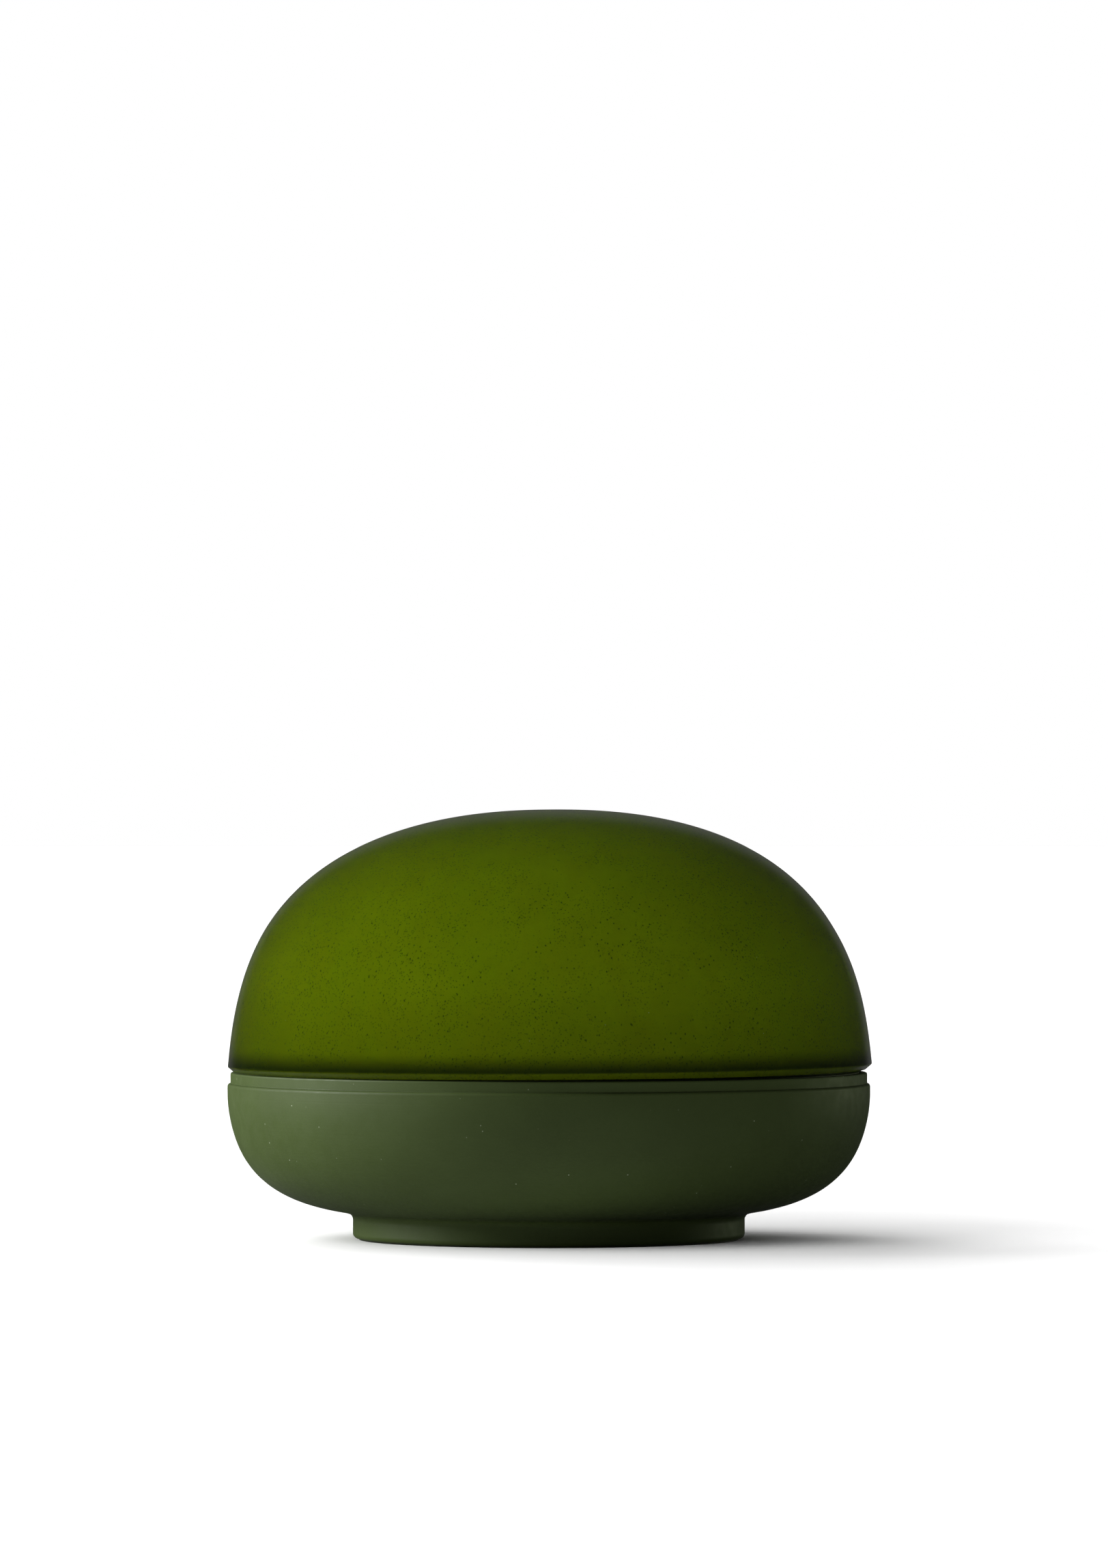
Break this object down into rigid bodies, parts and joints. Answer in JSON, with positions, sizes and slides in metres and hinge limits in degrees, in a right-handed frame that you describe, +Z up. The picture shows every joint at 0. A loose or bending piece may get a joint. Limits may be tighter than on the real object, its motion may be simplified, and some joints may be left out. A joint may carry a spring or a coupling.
{
  "type": "cordless table lamp",
  "caption": "Small cordless table lamp: translucent green glass dome resting on a rounded soft-touch bowl with a round foot; LED deck, diffuser and battery inside.",
  "frame": {"origin": "middle of the foot, on the surface that the lamp stands on", "axes": "+Z up through the middle of the dome; +X to the right seen from the front; the charging port faces +Y, to the rear"},
  "size_m": [0.15, 0.15, 0.1],
  "materials": {
    "green_glass": "polished outside, frosted inside",
    "soft_touch_green": "soft-touch, matte",
    "silicone": "matte",
    "white_plastic": "satin",
    "opal_plastic": "opal, satin",
    "white_board": "white solder mask",
    "green_board": "green solder mask",
    "led_phosphor": "silicone-filled",
    "black_plastic": "matte",
    "ferrite": "pressed, matte",
    "clear_plastic": "clear",
    "steel": "zinc plated",
    "nickel": "nickel plated",
    "cell_wrap": "heat-shrink sleeve",
    "lead_pvc": "PVC"
  },
  "bodies": {
    "base": {"base_shell": "soft_touch_green", "shade_seat_ring": "silicone", "foot_ring_pad": "silicone", "deck_plate": "white_plastic", "deck_screws": "steel", "diffuser_cap": "opal_plastic", "led_board": "white_board", "leds": "led_phosphor", "led_board_screws": "steel", "control_board": "green_board", "board_chips": "black_plastic", "board_inductor": "ferrite", "board_connectors": "white_plastic", "control_board_screws": "steel", "usb_port_shell": "steel", "usb_port_tongue": "black_plastic", "status_led": "led_phosphor", "light_pipe": "clear_plastic", "switch_body": "black_plastic", "battery_cell": "cell_wrap", "battery_holder": "black_plastic", "battery_contact_plate": "nickel", "battery_contact_spring": "nickel", "battery_holder_screws": "steel", "battery_leads": "lead_pvc", "led_leads": "lead_pvc"},
    "shade": {"glass_shade": "green_glass"},
    "button": {"power_button": "soft_touch_green", "switch_plunger": "white_plastic"}
  },
  "joints": [
    {"name": "shade_lift", "type": "slide", "parent": "base", "child": "shade", "axis": [0, 0, 1], "range_m": [0, 0.06]},
    {"name": "button_press", "type": "slide", "parent": "base", "child": "button", "axis": [0, 0, 1], "range_m": [0, 0.0005], "stiffness_N_per_m": 1500}
  ]
}
